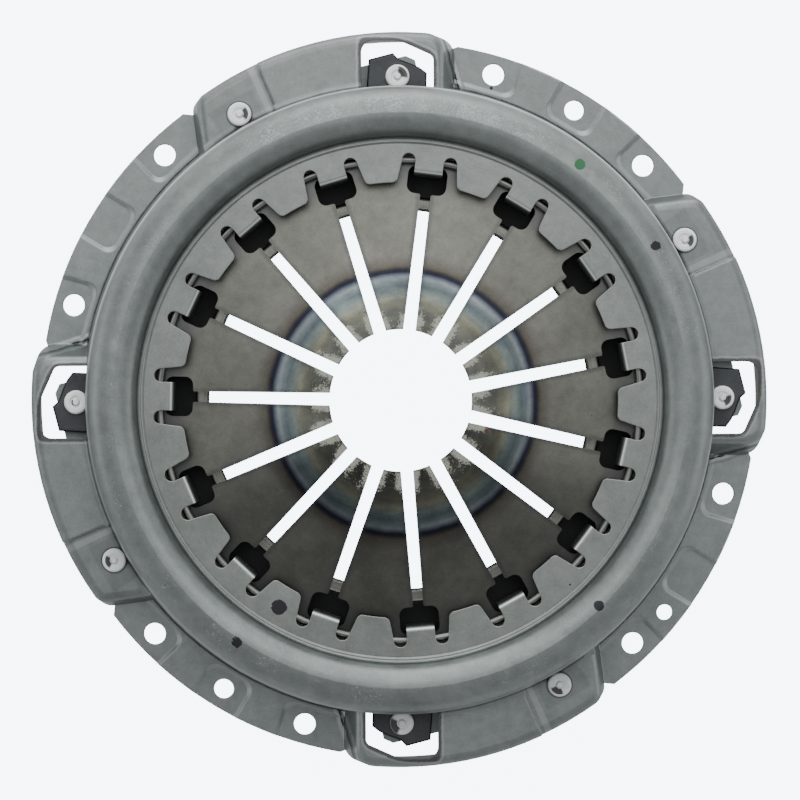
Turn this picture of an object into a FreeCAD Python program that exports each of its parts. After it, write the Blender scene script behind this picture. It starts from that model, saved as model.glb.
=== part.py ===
"""Diaphragm clutch cover assembly for a 300 mm driven plate, in millimetres.

The origin is the centre of the flange's seat on the flywheel, at height 0, and +Z points
to the gearbox. Angles are in degrees from +X, anticlockwise as the gearbox sees them.
"""

import FreeCAD, Part
import math
import os

from FreeCAD import Vector

# Radii of the spring, and of the cover's crown over its rim
pivot_radius = 120.6
spring_rim = 26.4
spring_outer_radius = pivot_radius + spring_rim
crown_inset = 3.6
crown_radius = spring_outer_radius - crown_inset

# Cover: pressed steel
sheet = 4.0
seat_height = 4.0
land_rise = 1.8
annulus_height = 45.0
crown_rise = 10.0
crown_height = annulus_height + crown_rise
outer_bend = 14.0
inner_bend = 12.5
wall_draft = 5.5
foot_fillet = 3.0
rim_step = 0.4
rim_inset = 14.5
rim_inner_radius = crown_radius - rim_inset

# Bolt seats on the flange
bolt_reach = 29.1
bolt_circle = crown_radius + bolt_reach
bolt_hole = 11.0
dowel_hole = 10.0
gauge_hole = 8.0
gauge_offset = 1.2
gauge_circle = bolt_circle + gauge_offset
flange_margin = 9.9
flange_radius = bolt_circle + flange_margin
seat_pitch = 15.0
seat_half_width = 12.3
seat_end_reach = (20.0, 50.0)
seat_depth = 8.8
seat_inner_radius = bolt_circle - seat_depth
seat_corner = 8.2
seat_slope = 45.0
land_edge = 0.8
land_ledge = 2.3

# Angles that repeat every quarter turn
lug_angle = 0.4
rivet_sweep = 28.9
seat_sweep = 58.4
quarter = 90.0

# Straps and their rivets
cover_rivet_reach = 21.9
cover_rivet_circle = crown_radius + cover_rivet_reach
lug_rivet_reach = 19.9
lug_rivet_circle = crown_radius + lug_rivet_reach
leaf_thickness = 1.0
leaf_count = 3
strap_width = 20.0
strap_end = 11.0
strap_end_cut = (4.1, 3.2)
strap_drop = 6.5
strap_clamp = 12.0
lug_clamp = 17.0
strap_clearance = 0.65
rivet_shank = 8.0
rivet_clearance = 0.1
rivet_head = 12.0
rivet_head_height = 2.6
head_clearance = 0.3
rivet_nub = 3.4
closing_head = 13.0
closing_height = 2.5
lug_height = 11.0
lug_edge = 1.2
lug_root = 7.0

# Strap housings, in a frame whose X runs out through the lug
pad_height = 22.0
panel_step = 4.0
panel_height = pad_height + panel_step
housing_shift = 14.0
lug_room = 22.7
housing_radius = lug_rivet_circle + lug_room - housing_shift
housing_skirt = 4.0
housing_depth = 43.4
housing_core = crown_radius - housing_depth
window_half = 18.2
lug_end_margin = 4.4
lug_end_top = window_half + lug_end_margin
lug_end_lean = 6.9
lug_end_foot = lug_end_top + lug_end_lean
rivet_end_top = 19.55
rivet_end_lean = 4.3
rivet_end_foot = rivet_end_top + rivet_end_lean
rivet_end_slope = 6.8
step_sweep = 22.8
lug_corner = 10.0
rivet_corner = 7.5
housing_edge = 5.0
step_edge = 1.5
window_room = 18.1
window_reach = lug_rivet_circle + window_room
window_slant = 7.7
window_slant_end = 1.1
window_corner = 3.0
window_rounding = (3.5, 14.0, 6.0)
window_rise = 8.0
window_top = panel_height + window_rise

# Spring retaining tabs of the cover
finger_count = 15
slot_angle = 11.0
tab_reach = 11.7
tab_tip_radius = pivot_radius - tab_reach
tab_corner = 3.0
hook_half_width = 7.1
notch_width = 6.6
notch_ease = 0.1
gap_half_root = hook_half_width + notch_width + notch_ease
gap_flare = 1.2
gap_half_tip = gap_half_root + gap_flare
notch_inset = 0.8
notch_centre_radius = pivot_radius - notch_inset
hook_inset = 8.0
hook_face_radius = pivot_radius - hook_inset
hook_bend = 3.2
hook_overlap = 2.0
hook_reach = pivot_radius + hook_overlap

# Diaphragm spring and its two wire rings
spring_thickness = 3.0
spring_cone = 11.5
finger_tip_radius = 35.4
slot_half_tip = 3.1
slot_half_root = 2.6
hole_room = 8.8
hole_inner_radius = hook_face_radius - hole_room
hole_gap = 1.2
hole_outer_radius = hook_face_radius + sheet + hole_gap
hole_side_gap = 2.8
hole_half_width = hook_half_width + hole_side_gap
hole_corner = 4.0
wire = 4.0
wire_gap = 0.04

# Pressure plate: cast iron
plate_margin = 5.0
plate_outer_radius = spring_outer_radius + plate_margin
plate_bore_radius = 96.6
face_height = 4.8
ridge_rise = 7.7
bore_band = 5.2
bore_band_drop = 1.6
plate_edge = 0.8
ridge_inset = 4.0
ridge_radius = spring_outer_radius - ridge_inset
ridge_half_width = 3.0
ridge_gap = 0.25
ridge_gaps = 12
ridge_gap_width = 9.0
overcut = 30.0

PLUS_Z = Vector(0, 0, 1)
CENTRE = Vector(0, 0, 0)


def cosine(angle):
    return math.cos(math.radians(angle))


def sine(angle):
    return math.sin(math.radians(angle))


def polar(radius, angle, z=0.0):
    return Vector(radius * cosine(angle), radius * sine(angle), z)


def turned(shape, angle):
    copy = shape.copy()
    copy.rotate(CENTRE, PLUS_Z, angle)
    return copy


def around(shape, count, start=0.0):
    """Copies of a shape, spaced evenly about the axis."""
    return [turned(shape, start + index * 360.0 / count) for index in range(count)]


def outline(start, *steps):
    """A closed wire: a step of one point is a straight edge, one of two is an arc."""
    edges = []
    at = start
    for step in steps + ((start,),):
        if (step[-1] - at).Length < 1e-6:
            continue
        if len(step) == 1:
            edges.append(Part.LineSegment(at, step[0]).toShape())
        else:
            edges.append(Part.Arc(at, step[0], step[1]).toShape())
        at = step[-1]
    return Part.Wire(edges)


def prism(points, low, high):
    """A polygon's points, raised from one height to another."""
    steps = [(Vector(x, y, low),) for x, y in points]
    face = Part.Face(outline(steps[0][0], *steps[1:]))
    return face.extrude(Vector(0, 0, high - low))


def turning(wire_outline, start=0.0, sweep=360.0):
    """The solid that a closed profile in the XZ plane sweeps about the axis."""
    return turned(Part.Face(wire_outline).revolve(CENTRE, PLUS_Z, sweep), start)


def sector(inner, outer, start, end, low, high):
    """A piece of a ring, between two radii, angles and heights."""
    corners = [Vector(r, 0, z) for r, z in ((inner, low), (outer, low), (outer, high), (inner, high))]
    return turning(outline(corners[0], *[(corner,) for corner in corners[1:]]), start, end - start)


def drill(radius, x, y, low, high):
    return Part.makeCylinder(radius, high - low, Vector(x, y, low))


def rounded(shape, radius, wanted):
    """Fillet the edges that the test picks."""
    return shape.makeFillet(radius, [edge for edge in shape.Edges if wanted(edge)])


def is_upright(edge):
    box = edge.BoundBox
    return box.ZLength > 0.9 and box.ZLength > 3 * max(box.XLength, box.YLength)


def is_level_at(edge, z):
    return abs(edge.BoundBox.ZMin - z) < 1e-4 and abs(edge.BoundBox.ZMax - z) < 1e-4


# The wall of the dome leans out by wall_draft and touches the crown's outer bend
bend_centre = Vector(crown_radius, 0, crown_height - outer_bend)
wall_normal = Vector(cosine(wall_draft), 0, sine(wall_draft))
wall_down = Vector(sine(wall_draft), 0, -cosine(wall_draft))
wall_top = bend_centre + wall_normal * outer_bend


def wall_fillet(level, radius):
    """Where a fillet between the wall and a level face starts, its centre and where it ends."""
    start_z = level + radius * (1 - sine(wall_draft))
    start = wall_top + wall_down * ((wall_top.z - start_z) / cosine(wall_draft))
    centre = start + wall_normal * radius
    return start, centre, Vector(centre.x, 0, level)


def arc_middle(centre, radius, first, second):
    """The middle of an arc about a centre, between two directions."""
    half = (first - centre).normalize() + (second - centre).normalize()
    return centre + half.normalize() * radius


def dome():
    """The annulus, the rolled crown, the wall and the foot of the flange, as one turned sheet."""
    rim_z = annulus_height + rim_step
    crown_centre = Vector(crown_radius, 0, crown_height - inner_bend)
    crown = Vector(crown_radius, 0, crown_height)
    groove = Vector(crown_radius - math.sqrt(inner_bend**2 - (rim_z - crown_centre.z) ** 2), 0, rim_z)
    foot, foot_centre, foot_end = wall_fillet(sheet, foot_fillet)
    inside = wall_normal * -sheet
    under_crown = Vector(crown_radius, 0, crown_height - sheet)
    throat_radius = sheet - 1.0
    throat_z = annulus_height - sheet + throat_radius
    throat_x = crown_radius - math.sqrt((inner_bend - sheet) ** 2 - (throat_z - crown_centre.z) ** 2)
    throat = Vector(throat_x, 0, throat_z)
    throat_start = Vector(throat_x - throat_radius, 0, throat_z - throat_radius)
    throat_middle = Vector(throat_x - throat_radius * 0.293, 0, throat_z - throat_radius * 0.707)
    wide_fillet = foot_fillet + sheet
    inner_foot = foot + inside
    inner_foot_end = Vector(foot_centre.x, 0, 0)
    stub = foot_end.x + 0.2
    root = tab_tip_radius
    profile = outline(
        Vector(root, 0, annulus_height - sheet),
        (Vector(root, 0, annulus_height),),
        (Vector(rim_inner_radius, 0, annulus_height),),
        (Vector(rim_inner_radius + rim_step, 0, rim_z),),
        (groove,),
        (arc_middle(crown_centre, inner_bend, groove, crown), crown),
        (arc_middle(bend_centre, outer_bend, crown, wall_top), wall_top),
        (foot,),
        (arc_middle(foot_centre, foot_fillet, foot, foot_end), foot_end),
        (Vector(stub, 0, sheet),),
        (Vector(stub, 0, 0),),
        (inner_foot_end,),
        (arc_middle(foot_centre, wide_fillet, inner_foot_end, inner_foot), inner_foot),
        (wall_top + inside,),
        (arc_middle(bend_centre, outer_bend - sheet, wall_top, crown), under_crown),
        (arc_middle(crown_centre, inner_bend - sheet, under_crown, throat), throat),
        (throat_middle, throat_start),
    )
    return turning(profile)


def tab_gap():
    """The cut between two flat tabs, with a round-ended notch on each side of the hooked tab."""
    low = annulus_height - sheet - 2
    high = annulus_height + 2
    flare = (gap_half_tip - gap_half_root) / (notch_centre_radius - tab_tip_radius)
    inner = tab_tip_radius - 4.0
    inner_half = gap_half_tip + 4.0 * flare
    points = [
        (inner, -inner_half),
        (notch_centre_radius, -gap_half_root),
        (notch_centre_radius, gap_half_root),
        (inner, inner_half),
    ]
    notch_y = gap_half_root - notch_width / 2
    cut = prism(points, low, high)
    for side in (-1, 1):
        cut = cut.fuse(drill(notch_width / 2, notch_centre_radius, side * notch_y, low, high))
    return cut


def hooked_tab():
    """A tab bent down through the spring and turned out beneath the lower wire ring."""
    top = annulus_height
    face = hook_face_radius
    back = face + sheet
    under = annulus_height - sheet
    rest = under - pivot_gap()
    toe = rest - sheet
    middle = hook_bend * (1 - 0.7071)
    profile = outline(
        Vector(rim_inner_radius - 1, 0, top),
        (Vector(face + hook_bend, 0, top),),
        (Vector(face + middle, 0, top - middle), Vector(face, 0, top - hook_bend)),
        (Vector(face, 0, toe + hook_bend),),
        (Vector(face + middle, 0, toe + middle), Vector(face + hook_bend, 0, toe)),
        (Vector(hook_reach, 0, toe),),
        (Vector(hook_reach, 0, rest),),
        (Vector(back, 0, rest),),
        (Vector(back, 0, under),),
        (Vector(rim_inner_radius - 1, 0, under),),
    )
    plate = Part.Face(profile).extrude(Vector(0, 2 * hook_half_width, 0))
    plate.translate(Vector(0, -hook_half_width, 0))
    return plate


def pivot_gap():
    """Height between the annulus and the hooks: two wires with the coned spring between them."""
    return 2 * (wire / 2 + wire_offset() + wire_gap)


def wire_offset():
    """Height of a wire's centre above or below the middle of the spring at the pivot."""
    return ((wire + spring_thickness) / 2 + wire_gap) / cosine(spring_cone)


def pivot_height():
    return annulus_height - sheet - pivot_gap() / 2


def annulus_cut(cover):
    """Cut the gaps, round the flat tabs' tips and add the hooked tabs."""
    gaps = around(tab_gap(), finger_count, slot_angle)
    cover = cover.cut(Part.makeCompound(gaps))

    def at_tip(edge):
        middle = edge.CenterOfMass
        return is_upright(edge) and math.hypot(middle.x, middle.y) < tab_tip_radius + 1.5

    cover = rounded(cover, tab_corner, at_tip)
    return cover.multiFuse(around(hooked_tab(), finger_count, slot_angle))


def seat_cut(angle, clockwise, anticlockwise, drop=0.0):
    """One bolt seat's space, open outwards, with walls that slope out as they rise.

    Each side gives its half width at the inner end and outside, halfway up the land.
    """
    inner = seat_inner_radius
    outer = flange_radius + 10
    middle = seat_height + land_rise / 2 - drop
    low = -1.0
    high = sheet + land_rise + 2
    wires = []
    for z in (low, high):
        grow = (z - middle) * math.tan(math.radians(seat_slope))
        points = [
            (inner - grow, -clockwise[0] - grow),
            (outer, -clockwise[1] - grow),
            (outer, anticlockwise[1] + grow),
            (inner - grow, anticlockwise[0] + grow),
        ]
        corners = [Vector(x, y, z) for x, y in points]
        wires.append(outline(corners[0], *[(corner,) for corner in corners[1:]]))
    block = Part.makeLoft(wires, True, True)

    def at_inner_corner(edge):
        return edge.BoundBox.ZLength > 5 and edge.CenterOfMass.x < inner + 5

    return turned(rounded(block, seat_corner, at_inner_corner), angle)


def flange():
    """One quarter of the flange: low at its three bolt seats, with the land around them pressed up."""
    start = step_sweep + 10
    end = quarter - 8
    foot = wall_fillet(sheet, foot_fillet)[2].x
    ledge = foot - land_ledge
    top = land_rise + sheet
    narrow = (seat_half_width, seat_half_width)

    def seats(drop):
        cuts = [
            seat_cut(seat_sweep - seat_pitch, seat_end_reach, narrow, drop),
            seat_cut(seat_sweep, narrow, narrow, drop),
            seat_cut(seat_sweep + seat_pitch, narrow, seat_end_reach, drop),
        ]
        return Part.makeCompound(cuts)

    low = sector(foot, flange_radius, start, end, 0, seat_height)
    raised = sector(ledge, flange_radius, start, end, land_rise, top).cut(seats(0.0))
    hollow = sector(foot, flange_radius + 1, start, end, -1, land_rise).cut(seats(sheet / 2))

    def on_land(edge):
        middle = edge.CenterOfMass
        angle = math.degrees(math.atan2(middle.y, middle.x))
        is_inside = math.hypot(middle.x, middle.y) > foot and start + 3 < angle < end - 1
        return is_level_at(edge, top) and is_inside

    raised = rounded(raised, land_edge, on_land)
    return low.cut(hollow).fuse(raised)


def flange_end_cuts():
    """Corners taken off both ends of a flange quarter."""
    rim = flange_radius
    rivet_side = [(rim - 9, 32.0), (rim - 4, 35.3), (rim, 36.7), (rim + 4, 37.8), (rim + 4, 32.0)]
    lug_side = [(rim - 2, 81.3), (rim, 80.1), (rim + 4, 78.5), (rim + 4, 83.0), (rim - 2, 83.0)]
    cuts = []
    for corner in (rivet_side, lug_side):
        points = [(radius * cosine(angle), radius * sine(angle)) for radius, angle in corner]
        cuts.append(prism(points, -1, sheet + land_rise + 1))
    return cuts


def housing_block(top, inset, end_sweep=None):
    """A strap housing's form with its walls moved in by inset, up to top or to an end angle."""
    low = housing_skirt if inset == 0 else -1.0
    lean_height = panel_height - seat_height
    lug_lean = (lug_end_foot - lug_end_top) / lean_height
    rivet_lean = (rivet_end_foot - rivet_end_top) / lean_height
    inner = housing_core
    outer = housing_shift + housing_radius + 10
    slope = math.tan(math.radians(rivet_end_slope))
    rivet = polar(cover_rivet_circle, rivet_sweep)

    def end_points(z):
        lug_y = -(lug_end_foot - lug_lean * (z - seat_height)) + inset
        rivet_y = rivet.y + rivet_end_foot - rivet_lean * (z - seat_height) - inset
        return [
            (inner, lug_y),
            (outer, lug_y),
            (outer, rivet_y + slope * (outer - rivet.x)),
            (inner, rivet_y + slope * (inner - rivet.x)),
        ]

    wires = []
    for z in (low, top):
        corners = [Vector(x, y, z) for x, y in end_points(z)]
        wires.append(outline(corners[0], *[(corner,) for corner in corners[1:]]))
    block = Part.makeLoft(wires, True, True)
    block = block.common(drill(housing_radius - inset, housing_shift, 0, low - 1, top + 1))

    def at_lug_corner(edge):
        middle = edge.CenterOfMass
        return edge.BoundBox.ZLength > 5 and middle.y < -1 and middle.x > inner + 5

    def at_rivet_corner(edge):
        middle = edge.CenterOfMass
        return edge.BoundBox.ZLength > 5 and middle.y > 1 and middle.x > inner + 5

    block = rounded(block, lug_corner - inset, at_lug_corner)
    block = rounded(block, rivet_corner - inset, at_rivet_corner)

    def on_top(edge):
        return is_level_at(edge, top) and edge.CenterOfMass.x > inner + 1e-3

    block = rounded(block, housing_edge - inset, on_top)
    if end_sweep is None:
        return block
    block = block.common(sector(1, outer + overcut, -quarter / 2, end_sweep, low - 1, top + 1))

    def on_step(edge):
        middle = edge.CenterOfMass
        return is_level_at(edge, top) and abs(math.degrees(math.atan2(middle.y, middle.x)) - end_sweep) < 0.01

    return rounded(block, step_edge, on_step) if inset == 0 else block


def housing_form():
    """Outer form of a housing: a high panel by the lug and a lower pad under the cover rivet."""
    panel = housing_block(panel_height, 0, step_sweep)
    pad = housing_block(pad_height, 0)
    form = panel.fuse(pad)
    core = drill(wall_top.x - 0.5, 0, 0, housing_skirt - 2, panel_height + 2)
    return form.cut(core)


def housing_hollow():
    """The space beneath one housing's sheet."""
    high = housing_block(panel_height - sheet, sheet, step_sweep - 1.3)
    low = housing_block(pad_height - sheet, sheet)
    return high.fuse(low)


def housing_foot(level, start, end, end_sweep=None):
    """Fillet between the dome's wall and the top of a housing, rounded off where the housing ends."""
    first, centre, last = wall_fillet(level, foot_fillet)
    depth = Vector(0, 0, -sheet / 2)
    inside = Vector(-sheet / 2, 0, 0)
    profile = outline(
        first,
        (arc_middle(centre, foot_fillet, first, last), last),
        (last + depth,),
        (Vector(first.x, 0, level) + depth + inside,),
        (first + inside,),
    )
    return turning(profile, start, end - start).common(housing_block(level + foot_fillet, 0, end_sweep))


def window():
    """Opening over the lug, cut through the panel and up the dome's wall."""
    half = window_half
    inner = crown_radius + 4
    corners = [(window_reach - window_slant, -half), (window_reach, -window_slant_end), (window_reach, half)]
    cut = prism([(inner, -half), *corners, (inner, half)], seat_height + 2, window_top)
    for (x, y), radius in zip(corners, window_rounding):

        def at_corner(edge):
            middle = edge.CenterOfMass
            return is_upright(edge) and math.hypot(middle.x - x, middle.y - y) < 0.01

        cut = rounded(cut, radius, at_corner)

    def on_wall_top(edge):
        return is_level_at(edge, window_top) and abs(edge.CenterOfMass.y) > half - 0.01

    return rounded(cut, window_corner, on_wall_top)


def at_each_quarter(shape):
    return around(shape, 4, lug_angle)


def make_cover():
    cover = annulus_cut(dome())
    pieces = [flange().cut(Part.makeCompound(flange_end_cuts())), housing_form()]
    pieces.append(housing_foot(panel_height, -6.0, step_sweep, step_sweep))
    pieces.append(housing_foot(pad_height, step_sweep - 0.5, quarter / 2))
    added = []
    for piece in pieces:
        added += at_each_quarter(piece)
    cover = cover.multiFuse(added)
    cuts = at_each_quarter(housing_hollow()) + at_each_quarter(window())
    cover = cover.cut(Part.makeCompound(cuts))
    return cover.cut(Part.makeCompound(cover_holes()))


def cover_holes():
    """Bolt, dowel, gauge and rivet holes, and the flats that seat the rivets' heads."""
    holes = []
    high = sheet + land_rise + 1
    for index in range(4):
        middle = lug_angle + seat_sweep + index * quarter
        for side in (-1, 1):
            at = polar(bolt_circle, middle + side * seat_pitch)
            holes.append(drill(bolt_hole / 2, at.x, at.y, -1, high))
        if index % 2 == 0:
            at = polar(bolt_circle, middle)
            holes.append(drill(dowel_hole / 2, at.x, at.y, -1, high))
        at = polar(cover_rivet_circle, lug_angle + rivet_sweep + index * quarter)
        holes.append(drill(rivet_shank / 2 + rivet_clearance, at.x, at.y, pad_height - sheet - 1, pad_height + 1))
        holes.append(drill(rivet_head / 2 + head_clearance, at.x, at.y, pad_height, pad_height + rivet_head_height + 1))
    at = polar(gauge_circle, lug_angle + seat_sweep + 3 * quarter - seat_pitch / 2)
    holes.append(drill(gauge_hole / 2, at.x, at.y, -1, high))
    return holes


def make_spring():
    """A coned disc: a continuous rim, and fingers parted by slots that widen into holes."""
    rise = math.tan(math.radians(spring_cone))
    half = spring_thickness / 2 / cosine(spring_cone)

    def middle(radius):
        return pivot_height() + (pivot_radius - radius) * rise

    corners = []
    for radius, side in (
        (finger_tip_radius, -1),
        (spring_outer_radius, -1),
        (spring_outer_radius, 1),
        (finger_tip_radius, 1),
    ):
        corners.append(Vector(radius, 0, middle(radius) + side * half))
    disc = turning(outline(corners[0], *[(corner,) for corner in corners[1:]]))
    low = middle(spring_outer_radius) - 10
    high = middle(finger_tip_radius) + 10
    slot_points = [
        (finger_tip_radius - 4, -slot_half_tip),
        (hole_inner_radius + 2, -slot_half_root),
        (hole_inner_radius + 2, slot_half_root),
        (finger_tip_radius - 4, slot_half_tip),
    ]
    slot = prism(slot_points, low, high)
    hole_points = [
        (hole_inner_radius, -hole_half_width),
        (hole_outer_radius, -hole_half_width),
        (hole_outer_radius, hole_half_width),
        (hole_inner_radius, hole_half_width),
    ]
    hole = rounded(prism(hole_points, low, high), hole_corner, is_upright)
    cuts = around(slot.fuse(hole), finger_count, slot_angle)
    return disc.cut(Part.makeCompound(cuts))


def make_ring(side):
    """One wire ring: side 1 lies above the spring and side -1 below it."""
    return Part.makeTorus(pivot_radius, wire / 2, Vector(0, 0, pivot_height() + side * wire_offset()))


def strap_frame():
    """Where a strap starts, the angle that it runs at and its rivet pitch, for the lug on X."""
    start = polar(cover_rivet_circle, rivet_sweep)
    end = polar(lug_rivet_circle, 0)
    run = end - start
    return start, math.degrees(math.atan2(run.y, run.x)), run.Length


def strap_distance():
    """Distance from the clutch axis to the line through a strap's two rivets."""
    pitch = strap_frame()[2]
    return cover_rivet_circle * lug_rivet_circle * sine(rivet_sweep) / pitch


def on_strap(shape, quarter_index):
    """Move a shape from the strap's own frame, with X along it, to its place."""
    start, angle, pitch = strap_frame()
    copy = turned(shape, angle)
    copy.translate(start)
    return turned(copy, lug_angle + quarter_index * quarter)


def strap_top():
    return pad_height - sheet


def lug_base():
    return strap_top() - strap_drop


def make_leaf(index):
    """One spring leaf: flat at both rivets, and bent between them as a guided beam bends."""
    pitch = strap_frame()[2]
    top = strap_top() - index * leaf_thickness
    bottom = top - leaf_thickness
    first = strap_clamp
    last = pitch - lug_clamp
    third = (last - first) / 3

    def bent(z, forwards):
        poles = [
            Vector(first, 0, z),
            Vector(first + third, 0, z),
            Vector(last - third, 0, z - strap_drop),
            Vector(last, 0, z - strap_drop),
        ]
        curve = Part.BezierCurve()
        curve.setPoles(poles if forwards else poles[::-1])
        return curve.toShape()

    def flat(x0, z0, x1, z1):
        return Part.LineSegment(Vector(x0, 0, z0), Vector(x1, 0, z1)).toShape()

    far = pitch + strap_end
    edges = [
        flat(-strap_end, bottom, -strap_end, top),
        flat(-strap_end, top, first, top),
        bent(top, True),
        flat(last, top - strap_drop, far, top - strap_drop),
        flat(far, top - strap_drop, far, bottom - strap_drop),
        flat(far, bottom - strap_drop, last, bottom - strap_drop),
        bent(bottom, False),
        flat(first, bottom, -strap_end, bottom),
    ]
    half = strap_width / 2
    leaf = Part.Face(Part.Wire(edges)).extrude(Vector(0, strap_width, 0))
    leaf.translate(Vector(0, -half, 0))
    cut_x, cut_y = strap_end_cut
    plan = prism(
        [
            (-strap_end + cut_x, -half),
            (far - cut_x, -half),
            (far, -half + cut_y),
            (far, half - cut_y),
            (far - cut_x, half),
            (-strap_end + cut_x, half),
            (-strap_end, half - cut_y),
            (-strap_end, -half + cut_y),
        ],
        bottom - strap_drop - 1,
        top + 1,
    )
    leaf = leaf.common(plan)
    hole = rivet_shank / 2 + rivet_clearance
    low = bottom - strap_drop - 1
    return leaf.cut(Part.makeCompound([drill(hole, 0, 0, low, top + 1), drill(hole, pitch, 0, low, top + 1)]))


def make_rivet(seat, under):
    """A rivet with its dimpled head on seat and its closing head beneath under."""
    head = rivet_head / 2
    nub = rivet_nub / 2
    top = seat + rivet_head_height
    shank = rivet_shank / 2
    closing = closing_head / 2
    bottom = under - closing_height
    profile = outline(
        Vector(0, 0, top + 0.5),
        (Vector(nub - 0.5, 0, top + 0.5),),
        (Vector(nub, 0, top - 0.1),),
        (Vector(nub + 0.3, 0, top - 0.5),),
        (Vector(nub + 1.1, 0, top - 0.5),),
        (Vector(nub + 1.6, 0, top),),
        (Vector(head - 1.2, 0, top),),
        (Vector(head - 0.35, 0, top - 0.4), Vector(head, 0, top - 1.3)),
        (Vector(head, 0, seat),),
        (Vector(shank, 0, seat),),
        (Vector(shank, 0, under),),
        (Vector(closing, 0, under),),
        (Vector(closing, 0, under - 0.8),),
        (Vector(closing - 1.6, 0, bottom),),
        (Vector(0, 0, bottom),),
    )
    return turning(profile)


def make_cover_rivet(index):
    rivet = make_rivet(pad_height, strap_top() - leaf_count * leaf_thickness)
    at = polar(cover_rivet_circle, lug_angle + rivet_sweep + index * quarter)
    rivet.translate(at)
    return rivet


def make_lug_rivet(index):
    rivet = make_rivet(lug_base() + lug_height, lug_base() - leaf_count * leaf_thickness)
    at = polar(lug_rivet_circle, lug_angle + index * quarter)
    rivet.translate(at)
    return rivet


def lug():
    """A driving lug in the strap's frame, lying on the strap's end and rooted in the ring."""
    pitch = strap_frame()[2]
    edge_line = -strap_width / 2 - strap_clearance
    inner = edge_line - 13.0
    shape = [
        (-15.6, inner),
        (-16.1, -0.7),
        (-12.1, 11.9),
        (0.7, 12.2),
        (2.6, 8.6),
        (8.2, 4.9),
        (12.0, 2.0),
        (15.0, -1.6),
        (13.3, -7.8),
        (12.5, inner),
    ]
    points = [(pitch + u, v) for u, v in shape]
    base = lug_base()
    top = base + lug_height
    head = prism(points, base, top)

    def on_top(edge):
        return is_level_at(edge, top) and edge.CenterOfMass.y > inner + 0.01

    head = rounded(head, lug_edge, on_top)
    neck = [(pitch - 15.4, inner), (pitch - 15.4, edge_line), (pitch + 12.3, edge_line), (pitch + 12.3, inner)]
    whole = head.fuse(prism(neck, lug_root, base + 1))
    return whole.cut(drill(rivet_shank / 2 + rivet_clearance, pitch, 0, lug_root, top + 1))


def make_plate():
    """A ring with a turned face, a machined band at its bore, a fulcrum ridge and four lugs."""
    rise = math.tan(math.radians(spring_cone))
    bore = plate_bore_radius
    rim = plate_outer_radius
    edge = plate_edge
    spring_under = pivot_height() - (ridge_radius - pivot_radius) * rise - spring_thickness / 2 / cosine(spring_cone)
    tip_centre = Vector(ridge_radius, 0, spring_under - (ridge_half_width + ridge_gap) / cosine(spring_cone))
    left = tip_centre - Vector(ridge_half_width, 0, 0)
    right = tip_centre + Vector(ridge_half_width, 0, 0)
    back = tip_centre.z - ridge_rise
    band = back - bore_band_drop
    profile = outline(
        Vector(bore + edge, 0, face_height),
        (Vector(rim - edge, 0, face_height),),
        (Vector(rim, 0, face_height + edge),),
        (Vector(rim, 0, back - 3.0),),
        (Vector(rim - 0.9, 0, back - 0.9), Vector(rim - 3.0, 0, back)),
        (Vector(right.x + 1.6, 0, back),),
        (Vector(right.x + 0.6, 0, back + 1.0),),
        (right,),
        (tip_centre + Vector(0, 0, ridge_half_width), left),
        (Vector(left.x - 1.2, 0, back + 3.0),),
        (Vector(left.x - 2.1, 0, back + 0.9), Vector(left.x - 4.2, 0, back)),
        (Vector(bore + bore_band + 1.2, 0, back),),
        (Vector(bore + bore_band, 0, band),),
        (Vector(bore + edge, 0, band),),
        (Vector(bore, 0, band - edge),),
        (Vector(bore, 0, face_height + edge),),
    )
    plate = turning(profile)
    gap_points = [
        (ridge_radius - 9, -ridge_gap_width / 2),
        (ridge_radius + 9, -ridge_gap_width / 2),
        (ridge_radius + 9, ridge_gap_width / 2),
        (ridge_radius - 9, ridge_gap_width / 2),
    ]
    gap = prism(gap_points, back + 1.5, back + overcut)
    start, angle, pitch = strap_frame()
    flat = strap_distance() - strap_width / 2 - strap_clearance
    far = flat + overcut
    half = plate_outer_radius / 2
    relief_points = [(flat, -half), (far, -half), (far, half), (flat, half)]
    relief = prism(relief_points, 0, back + overcut)
    cuts = around(gap, ridge_gaps, lug_angle + 15.0)
    cuts += around(relief, 4, lug_angle + angle + 90.0)
    plate = plate.cut(Part.makeCompound(cuts))
    return plate.multiFuse([on_strap(lug(), index) for index in range(4)]).removeSplitter()


def write(name, shape):
    shape.exportStep("parts/" + name + ".step")


def main():
    os.makedirs("parts", exist_ok=True)
    write("cover", make_cover())
    write("diaphragm_spring", make_spring())
    write("upper_pivot_ring", make_ring(1))
    write("lower_pivot_ring", make_ring(-1))
    write("pressure_plate", make_plate())
    leaf_names = ("top", "middle", "bottom")
    for index in range(4):
        place = str(index + 1)
        for leaf_index, leaf_name in enumerate(leaf_names):
            write("strap_" + place + "_" + leaf_name + "_leaf", on_strap(make_leaf(leaf_index), index))
        write("cover_rivet_" + place, make_cover_rivet(index))
        write("lug_rivet_" + place, make_lug_rivet(index))


main()
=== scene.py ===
"""Dresses the clutch cover assembly and sets it on a pale table under soft light."""

import math

import bmesh
import bpy
from mathutils import Matrix, Vector
from mathutils.geometry import delaunay_2d_cdt


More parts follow.
